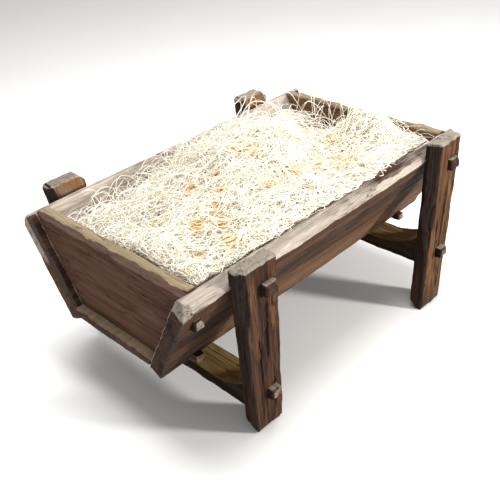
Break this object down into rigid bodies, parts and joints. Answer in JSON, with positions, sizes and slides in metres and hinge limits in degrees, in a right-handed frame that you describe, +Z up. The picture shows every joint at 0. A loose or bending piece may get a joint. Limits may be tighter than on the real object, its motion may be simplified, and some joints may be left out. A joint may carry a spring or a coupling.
{
  "type": "trough manger",
  "caption": "Rustic plank trough manger with sloping sides on plank legs joined by stretchers and square pegs, heaped with loose pale wood wool.",
  "frame": {"origin": "on the ground under the middle of the trough", "axes": "+X along the trough, +Y across it towards the back, +Z up"},
  "size_m": [0.7, 0.503, 0.415],
  "materials": {
    "side_board_wood": "matte",
    "end_board_wood": "matte",
    "bottom_wood": "matte",
    "leg_wood": "matte",
    "stretcher_wood": "matte",
    "peg_wood": "matte",
    "nail_steel": "matte",
    "wood_wool": "matte"
  },
  "bodies": {
    "frame": {"batten_nails_left": "nail_steel", "batten_nails_right": "nail_steel", "bottom_batten_left": "bottom_wood", "bottom_batten_right": "bottom_wood", "bottom_board": "bottom_wood", "end_board_left": "end_board_wood", "end_board_nails_left": "nail_steel", "end_board_nails_right": "nail_steel", "end_board_right": "end_board_wood", "end_peg_back_left": "peg_wood", "end_peg_back_right": "peg_wood", "end_peg_front_left": "peg_wood", "end_peg_front_right": "peg_wood", "leg_back_left": "leg_wood", "leg_back_right": "leg_wood", "leg_front_left": "leg_wood", "leg_front_right": "leg_wood", "lower_peg_back_left": "peg_wood", "lower_peg_back_right": "peg_wood", "lower_peg_front_left": "peg_wood", "lower_peg_front_right": "peg_wood", "side_board_back": "side_board_wood", "side_board_front": "side_board_wood", "stretcher_left": "stretcher_wood", "stretcher_right": "stretcher_wood", "upper_peg_back_left": "peg_wood", "upper_peg_back_right": "peg_wood", "upper_peg_front_left": "peg_wood", "upper_peg_front_right": "peg_wood"},
    "fill": {"wood_wool_fill": "wood_wool"}
  },
  "joints": [
    {"name": "fill_lift", "type": "slide", "parent": "frame", "child": "fill", "axis": [0, 0, 1], "range_m": [0, 0.25]}
  ]
}
